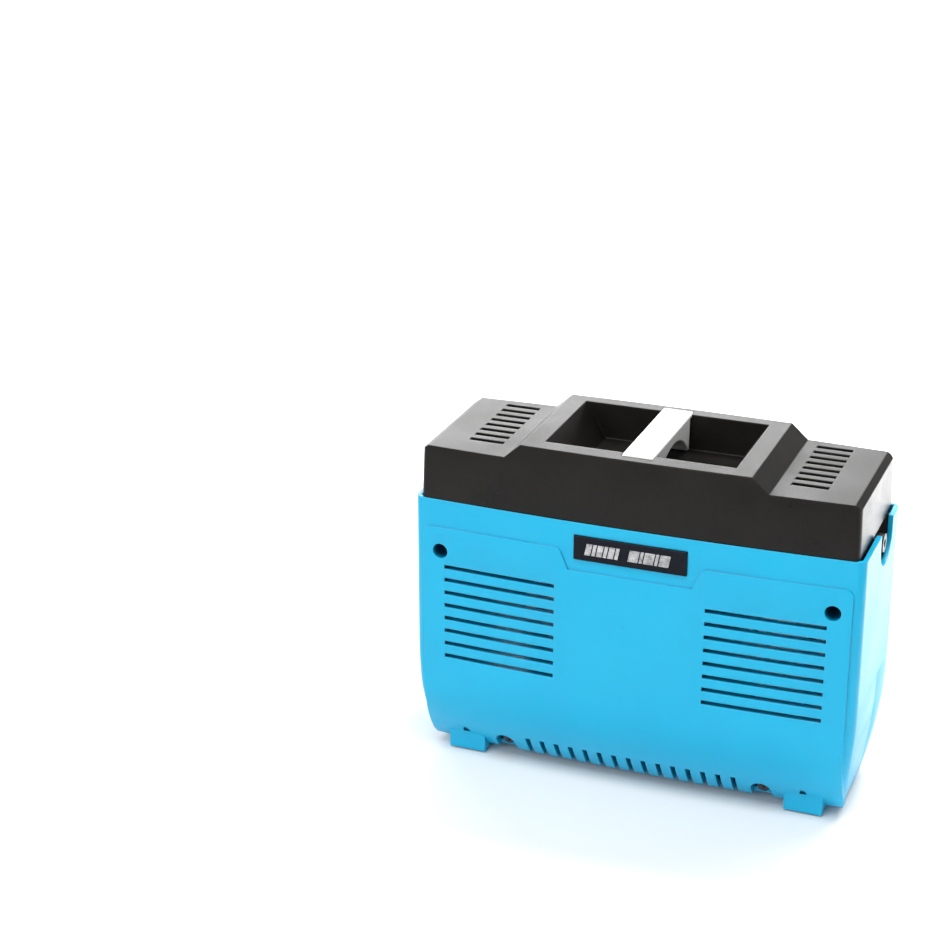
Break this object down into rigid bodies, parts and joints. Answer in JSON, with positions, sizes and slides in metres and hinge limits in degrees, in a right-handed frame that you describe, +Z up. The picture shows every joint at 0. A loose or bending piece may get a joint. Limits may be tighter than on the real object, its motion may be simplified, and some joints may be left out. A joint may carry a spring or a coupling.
{
  "type": "airbrush air compressor",
  "caption": "Upright electric air compressor: bowed two-part case with louvres, dark cover with a sunk hand hold and pale grip bar, end air outlet, sprung electromagnetic piston pump inside.",
  "frame": {"origin": "centre of the overall box, at floor level", "axes": "+Z up, -Y towards the name plate, +X towards the air outlet; X is the longest side"},
  "size_m": [0.235, 0.088, 0.185],
  "materials": {
    "blue_shell": "injection moulded, lightly glossy",
    "black_cover": "fine moulded texture",
    "white_grip": "smooth satin",
    "foot_rubber": "moulded rubber",
    "screw_steel": "zinc-plated",
    "badge": "glossy with printed marks",
    "outlet_cup": "moulded",
    "outlet_brass": "turned brass",
    "switch_black": "moulded",
    "rocker_black": "moulded, polished by use",
    "inlet_black": "moulded",
    "contact_brass": "stamped and plated",
    "bed_steel": "galvanised sheet",
    "mount_rubber": "soft rubber",
    "stand_alloy": "machined",
    "cylinder_alloy": "die-cast",
    "valve_steel": "ground",
    "reed_steel": "spring steel",
    "filter_plastic": "moulded",
    "felt": "pressed felt",
    "bolt_steel": "zinc-plated",
    "piston_alloy": "turned",
    "ring_plastic": "low-friction plastic",
    "rod_steel": "ground",
    "core_steel": "varnished laminations",
    "bracket_steel": "pressed sheet",
    "bobbin_plastic": "moulded",
    "coil_copper": "enamelled copper wire",
    "spring_steel": "drawn wire",
    "hose": "flexible tube"
  },
  "bodies": {
    "case": {"front_shell": "blue_shell", "rear_shell": "blue_shell", "foot_pad_front_left": "foot_rubber", "foot_pad_front_right": "foot_rubber", "foot_pad_rear_left": "foot_rubber", "foot_pad_rear_right": "foot_rubber", "case_screws_upper": "screw_steel", "case_screws_lower": "screw_steel", "top_cover": "black_cover", "grip_bar": "white_grip", "cover_screws": "screw_steel", "name_plate": "badge", "outlet_cup": "outlet_cup", "outlet_fitting": "outlet_brass", "outlet_nut": "outlet_brass", "switch_housing": "switch_black", "mains_inlet": "inlet_black", "inlet_pins": "contact_brass", "pump_bed": "bed_steel", "rubber_mount_1": "mount_rubber", "rubber_mount_2": "mount_rubber", "rubber_mount_3": "mount_rubber", "rubber_mount_4": "mount_rubber", "cylinder_stand": "stand_alloy", "spring_stand": "stand_alloy", "cylinder": "cylinder_alloy", "valve_plate": "valve_steel", "suction_reed": "reed_steel", "delivery_reed": "reed_steel", "cylinder_head": "cylinder_alloy", "delivery_barb": "outlet_brass", "intake_filter": "filter_plastic", "filter_felt": "felt", "head_bolts": "bolt_steel", "return_spring": "spring_steel", "core_front": "core_steel", "core_rear": "core_steel", "core_bracket_front": "bracket_steel", "core_bracket_rear": "bracket_steel", "bobbin_front": "bobbin_plastic", "bobbin_rear": "bobbin_plastic", "coil_front": "coil_copper", "coil_rear": "coil_copper", "air_hose": "hose"},
    "piston_unit": {"piston": "piston_alloy", "piston_ring": "ring_plastic", "piston_rod": "rod_steel", "armature": "core_steel", "spring_seat": "bolt_steel"},
    "rocker": {"switch_rocker": "rocker_black"}
  },
  "joints": [
    {"name": "piston_slide", "type": "slide", "parent": "case", "child": "piston_unit", "axis": [1, 0, 0], "range_m": [-0.007, 0], "stiffness_N_per_m": 2000, "deforming": ["return_spring"]},
    {"name": "rocker_tilt", "type": "hinge", "parent": "case", "child": "rocker", "pos_m": [-0.1099, -0.014, 0.104], "axis": [0, 1, 0], "range_deg": [0, 14]}
  ]
}
